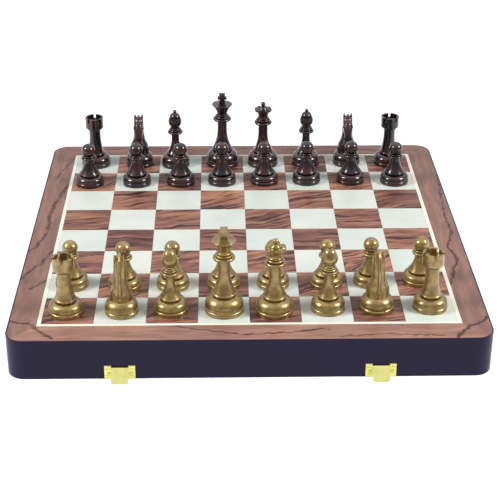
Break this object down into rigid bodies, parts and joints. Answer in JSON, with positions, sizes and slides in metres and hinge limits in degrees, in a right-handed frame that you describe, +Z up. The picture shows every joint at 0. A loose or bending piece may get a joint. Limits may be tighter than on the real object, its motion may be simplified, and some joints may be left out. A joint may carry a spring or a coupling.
{
  "type": "folding chess box",
  "caption": "Flat wooden chess box in two hinged trays that opens into a veneered board, with hook clasps and turned metal men set out on it.",
  "frame": {"origin": "on the plane of the rims that the open box rests on, in the middle of the seam between the two halves", "axes": "+Z up through the playing surface, +X along the seam to the picture's right, +Y from the gold men towards the dark men, away from the camera"},
  "size_m": [0.381, 0.3916, 0.1094],
  "materials": {
    "lacquer": "satin lacquer",
    "panel_board": "plain",
    "felt": "felt",
    "rosewood": "satin veneer",
    "dark_veneer": "satin veneer",
    "pale_veneer": "satin veneer",
    "cream": "satin veneer",
    "brass": "bright",
    "gold": "bright",
    "bronze": "gloss lacquer"
  },
  "bodies": {
    "front_half": {"front_frame": "lacquer", "front_panel": "panel_board", "front_lining": "felt", "front_border": "rosewood", "front_line": "cream", "front_dark_squares": "dark_veneer", "front_pale_squares": "pale_veneer", "front_hinge_leaves": "brass", "hinge_pins": "brass", "front_hinge_screws": "brass", "clasp_plates": "brass", "hook_pins": "brass", "clasp_screws": "brass"},
    "rear_half": {"rear_frame": "lacquer", "rear_panel": "panel_board", "rear_lining": "felt", "rear_border": "rosewood", "rear_line": "cream", "rear_dark_squares": "dark_veneer", "rear_pale_squares": "pale_veneer", "rear_hinge_leaves": "brass", "rear_hinge_screws": "brass", "catch_plates": "brass", "catch_screws": "brass"},
    "left_hook": {"left_hook": "brass"},
    "right_hook": {"right_hook": "brass"},
    "gold_rook_left": {"gold_rook_left": "gold"},
    "gold_knight_left": {"gold_knight_left": "gold"},
    "gold_bishop_left": {"gold_bishop_left": "gold"},
    "gold_king": {"gold_king": "gold"},
    "gold_queen": {"gold_queen": "gold"},
    "gold_bishop_right": {"gold_bishop_right": "gold"},
    "gold_knight_right": {"gold_knight_right": "gold"},
    "gold_rook_right": {"gold_rook_right": "gold"},
    "gold_pawn_1": {"gold_pawn_1": "gold"},
    "gold_pawn_2": {"gold_pawn_2": "gold"},
    "gold_pawn_3": {"gold_pawn_3": "gold"},
    "gold_pawn_4": {"gold_pawn_4": "gold"},
    "gold_pawn_5": {"gold_pawn_5": "gold"},
    "gold_pawn_6": {"gold_pawn_6": "gold"},
    "gold_pawn_7": {"gold_pawn_7": "gold"},
    "gold_pawn_8": {"gold_pawn_8": "gold"},
    "dark_rook_left": {"dark_rook_left": "bronze"},
    "dark_knight_left": {"dark_knight_left": "bronze"},
    "dark_bishop_left": {"dark_bishop_left": "bronze"},
    "dark_king": {"dark_king": "bronze"},
    "dark_queen": {"dark_queen": "bronze"},
    "dark_bishop_right": {"dark_bishop_right": "bronze"},
    "dark_knight_right": {"dark_knight_right": "bronze"},
    "dark_rook_right": {"dark_rook_right": "bronze"},
    "dark_pawn_1": {"dark_pawn_1": "bronze"},
    "dark_pawn_2": {"dark_pawn_2": "bronze"},
    "dark_pawn_3": {"dark_pawn_3": "bronze"},
    "dark_pawn_4": {"dark_pawn_4": "bronze"},
    "dark_pawn_5": {"dark_pawn_5": "bronze"},
    "dark_pawn_6": {"dark_pawn_6": "bronze"},
    "dark_pawn_7": {"dark_pawn_7": "bronze"},
    "dark_pawn_8": {"dark_pawn_8": "bronze"}
  },
  "joints": [
    {"name": "board_fold", "type": "hinge", "parent": "front_half", "child": "rear_half", "pos_m": [0, 0, -0.0001], "axis": [-1, 0, 0], "range_deg": [0, 180]},
    {"name": "clasp_left_hook", "type": "hinge", "parent": "front_half", "child": "left_hook", "pos_m": [-0.1018, -0.1917, 0.0096], "axis": [-1, 0, 0], "range_deg": [-35.99, 134.01]},
    {"name": "clasp_right_hook", "type": "hinge", "parent": "front_half", "child": "right_hook", "pos_m": [0.1018, -0.1917, 0.0096], "axis": [-1, 0, 0], "range_deg": [-35.99, 134.01]},
    {"name": "lift_gold_rook_left", "type": "slide", "parent": "front_half", "child": "gold_rook_left", "axis": [0, 0, 1], "range_m": [0, 0.03]},
    {"name": "lift_gold_knight_left", "type": "slide", "parent": "front_half", "child": "gold_knight_left", "axis": [0, 0, 1], "range_m": [0, 0.03]},
    {"name": "lift_gold_bishop_left", "type": "slide", "parent": "front_half", "child": "gold_bishop_left", "axis": [0, 0, 1], "range_m": [0, 0.03]},
    {"name": "lift_gold_king", "type": "slide", "parent": "front_half", "child": "gold_king", "axis": [0, 0, 1], "range_m": [0, 0.03]},
    {"name": "lift_gold_queen", "type": "slide", "parent": "front_half", "child": "gold_queen", "axis": [0, 0, 1], "range_m": [0, 0.03]},
    {"name": "lift_gold_bishop_right", "type": "slide", "parent": "front_half", "child": "gold_bishop_right", "axis": [0, 0, 1], "range_m": [0, 0.03]},
    {"name": "lift_gold_knight_right", "type": "slide", "parent": "front_half", "child": "gold_knight_right", "axis": [0, 0, 1], "range_m": [0, 0.03]},
    {"name": "lift_gold_rook_right", "type": "slide", "parent": "front_half", "child": "gold_rook_right", "axis": [0, 0, 1], "range_m": [0, 0.03]},
    {"name": "lift_gold_pawn_1", "type": "slide", "parent": "front_half", "child": "gold_pawn_1", "axis": [0, 0, 1], "range_m": [0, 0.03]},
    {"name": "lift_gold_pawn_2", "type": "slide", "parent": "front_half", "child": "gold_pawn_2", "axis": [0, 0, 1], "range_m": [0, 0.03]},
    {"name": "lift_gold_pawn_3", "type": "slide", "parent": "front_half", "child": "gold_pawn_3", "axis": [0, 0, 1], "range_m": [0, 0.03]},
    {"name": "lift_gold_pawn_4", "type": "slide", "parent": "front_half", "child": "gold_pawn_4", "axis": [0, 0, 1], "range_m": [0, 0.03]},
    {"name": "lift_gold_pawn_5", "type": "slide", "parent": "front_half", "child": "gold_pawn_5", "axis": [0, 0, 1], "range_m": [0, 0.03]},
    {"name": "lift_gold_pawn_6", "type": "slide", "parent": "front_half", "child": "gold_pawn_6", "axis": [0, 0, 1], "range_m": [0, 0.03]},
    {"name": "lift_gold_pawn_7", "type": "slide", "parent": "front_half", "child": "gold_pawn_7", "axis": [0, 0, 1], "range_m": [0, 0.03]},
    {"name": "lift_gold_pawn_8", "type": "slide", "parent": "front_half", "child": "gold_pawn_8", "axis": [0, 0, 1], "range_m": [0, 0.03]},
    {"name": "lift_dark_rook_left", "type": "slide", "parent": "rear_half", "child": "dark_rook_left", "axis": [0, 0, 1], "range_m": [0, 0.03]},
    {"name": "lift_dark_knight_left", "type": "slide", "parent": "rear_half", "child": "dark_knight_left", "axis": [0, 0, 1], "range_m": [0, 0.03]},
    {"name": "lift_dark_bishop_left", "type": "slide", "parent": "rear_half", "child": "dark_bishop_left", "axis": [0, 0, 1], "range_m": [0, 0.03]},
    {"name": "lift_dark_king", "type": "slide", "parent": "rear_half", "child": "dark_king", "axis": [0, 0, 1], "range_m": [0, 0.03]},
    {"name": "lift_dark_queen", "type": "slide", "parent": "rear_half", "child": "dark_queen", "axis": [0, 0, 1], "range_m": [0, 0.03]},
    {"name": "lift_dark_bishop_right", "type": "slide", "parent": "rear_half", "child": "dark_bishop_right", "axis": [0, 0, 1], "range_m": [0, 0.03]},
    {"name": "lift_dark_knight_right", "type": "slide", "parent": "rear_half", "child": "dark_knight_right", "axis": [0, 0, 1], "range_m": [0, 0.03]},
    {"name": "lift_dark_rook_right", "type": "slide", "parent": "rear_half", "child": "dark_rook_right", "axis": [0, 0, 1], "range_m": [0, 0.03]},
    {"name": "lift_dark_pawn_1", "type": "slide", "parent": "rear_half", "child": "dark_pawn_1", "axis": [0, 0, 1], "range_m": [0, 0.03]},
    {"name": "lift_dark_pawn_2", "type": "slide", "parent": "rear_half", "child": "dark_pawn_2", "axis": [0, 0, 1], "range_m": [0, 0.03]},
    {"name": "lift_dark_pawn_3", "type": "slide", "parent": "rear_half", "child": "dark_pawn_3", "axis": [0, 0, 1], "range_m": [0, 0.03]},
    {"name": "lift_dark_pawn_4", "type": "slide", "parent": "rear_half", "child": "dark_pawn_4", "axis": [0, 0, 1], "range_m": [0, 0.03]},
    {"name": "lift_dark_pawn_5", "type": "slide", "parent": "rear_half", "child": "dark_pawn_5", "axis": [0, 0, 1], "range_m": [0, 0.03]},
    {"name": "lift_dark_pawn_6", "type": "slide", "parent": "rear_half", "child": "dark_pawn_6", "axis": [0, 0, 1], "range_m": [0, 0.03]},
    {"name": "lift_dark_pawn_7", "type": "slide", "parent": "rear_half", "child": "dark_pawn_7", "axis": [0, 0, 1], "range_m": [0, 0.03]},
    {"name": "lift_dark_pawn_8", "type": "slide", "parent": "rear_half", "child": "dark_pawn_8", "axis": [0, 0, 1], "range_m": [0, 0.03]}
  ]
}
